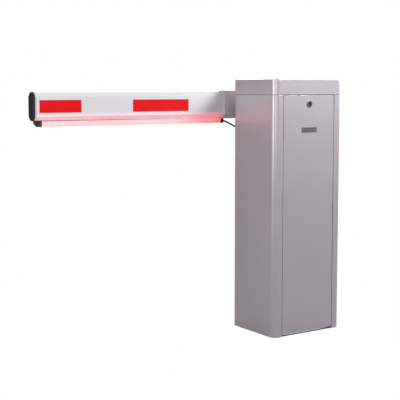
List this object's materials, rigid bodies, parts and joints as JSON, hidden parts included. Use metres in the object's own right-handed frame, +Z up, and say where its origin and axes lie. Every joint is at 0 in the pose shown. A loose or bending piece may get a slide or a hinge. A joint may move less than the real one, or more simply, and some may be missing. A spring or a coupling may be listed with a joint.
{
  "type": "parking barrier gate",
  "caption": "Upright sheet-metal barrier cabinet with a lift-out door, crank drive and spring inside, and a short swinging boom with reflective tape and a light along its lower edge.",
  "frame": {"origin": "centre of the four anchor holes, on the ground under the base plate", "axes": "+Z up, +X along the door face with the boom pointing to -X, +Y from the door towards the boom side"},
  "size_m": [1.189, 0.3677, 1],
  "materials": {
    "cabinet_paint": "satin silver-grey powder coat",
    "frame_steel": "zinc-plated sheet steel",
    "machined_steel": "turned and ground steel",
    "black_steel": "black phosphated steel",
    "bronze": "sintered bronze",
    "boom_aluminium": "white powder-coated aluminium",
    "holder_grey": "grey powder-coated aluminium",
    "rail_aluminium": "anodised aluminium",
    "black_rubber": "moulded black rubber",
    "black_plastic": "moulded black plastic",
    "grey_plastic": "light grey moulded plastic",
    "red_tape": "red retroreflective film",
    "diffuser_red": "translucent red-lit polycarbonate",
    "gear_steel": "hobbed steel with grease",
    "motor_paint": "dark motor enamel",
    "spring_steel": "blued spring steel",
    "cast_alloy": "die-cast aluminium",
    "plate_metal": "brushed blank plate",
    "strip_board": "white circuit strip",
    "lock_metal": "dark nickel-plated zinc"
  },
  "bodies": {
    "cabinet": {"cabinet_shell": "cabinet_paint", "lid": "cabinet_paint", "base_plate": "frame_steel", "lid_gasket": "black_rubber", "lid_screws": "machined_steel", "door_seal": "black_rubber", "door_pivot_blocks": "frame_steel", "frame_front_plate": "frame_steel", "frame_rear_plate": "frame_steel", "frame_brackets": "frame_steel", "frame_spacers": "machined_steel", "frame_bolts": "machined_steel", "bearing_housings": "cast_alloy", "shaft_bearings": "machined_steel", "shaft_seal": "black_rubber", "gearbox_case": "cast_alloy", "gearbox_bushes": "bronze", "motor_shell": "motor_paint", "motor_end_cap": "motor_paint", "limit_sensors": "machined_steel", "stop_buffers": "black_rubber", "stop_brackets": "frame_steel", "balance_spring": "spring_steel", "mounting_panel": "frame_steel", "control_box": "grey_plastic", "control_box_cover": "grey_plastic", "din_rail": "frame_steel", "circuit_breaker": "grey_plastic", "terminal_block": "grey_plastic"},
    "boom": {"boom_shaft": "machined_steel", "boom_lever": "black_steel", "lever_pin": "machined_steel", "sensor_cam": "frame_steel", "stop_lever": "black_steel", "hub_flange": "holder_grey", "holder_front": "holder_grey", "holder_rear": "holder_grey", "holder_bolts": "machined_steel", "boom_profile": "boom_aluminium", "boom_caps": "black_rubber", "reflective_tapes": "red_tape", "light_rail": "rail_aluminium", "light_diffuser": "diffuser_red", "light_strip": "strip_board", "light_plugs": "black_plastic", "light_lead": "black_rubber", "lead_gland": "black_plastic"},
    "crank": {"output_shaft": "machined_steel", "output_gear": "gear_steel", "crank_arm": "black_steel"},
    "link": {"link_rod": "black_steel"},
    "idler": {"idler_gear": "gear_steel"},
    "rotor": {"motor_rotor": "gear_steel", "hand_wheel": "red_tape"},
    "door": {"door_panel": "cabinet_paint", "door_pins": "machined_steel", "lock_barrel": "lock_metal", "name_plate": "plate_metal"},
    "lock": {"lock_plug": "lock_metal", "lock_cam": "frame_steel"}
  },
  "joints": [
    {"name": "boom_swing", "type": "hinge", "parent": "cabinet", "child": "boom", "pos_m": [0, 0, 0.899], "axis": [0, 1, 0], "range_deg": [0, 90]},
    {"name": "crank_turn", "type": "hinge", "parent": "cabinet", "child": "crank", "pos_m": [0, 0, 0.735], "axis": [0, 1, 0], "range_deg": [0, 90]},
    {"name": "rod_swing", "type": "hinge", "parent": "crank", "child": "link", "pos_m": [-0.04243, 0, 0.69257], "axis": [0, 1, 0], "range_deg": [-90, 0]},
    {"name": "idler_spin", "type": "hinge", "parent": "cabinet", "child": "idler", "pos_m": [0, 0, 0.66], "axis": [0, 1, 0], "range_deg": [-360, 0]},
    {"name": "motor_spin", "type": "hinge", "parent": "cabinet", "child": "rotor", "pos_m": [0, 0, 0.61313], "axis": [0, 1, 0], "range_deg": [0, 1440]},
    {"name": "door_tilt", "type": "hinge", "parent": "cabinet", "child": "door", "pos_m": [0, -0.124, 0.025], "axis": [1, 0, 0], "range_deg": [0, 60]},
    {"name": "lock_turn", "type": "hinge", "parent": "door", "child": "lock", "pos_m": [0, -0.12, 0.904], "axis": [0, 1, 0], "range_deg": [-90, 0]}
  ],
  "couplings": [
    {"joint": "crank_turn", "follows": "boom_swing", "ratio": 1},
    {"joint": "rod_swing", "follows": "boom_swing", "ratio": -1},
    {"joint": "idler_spin", "follows": "boom_swing", "ratio": -4},
    {"joint": "motor_spin", "follows": "boom_swing", "ratio": 16}
  ]
}
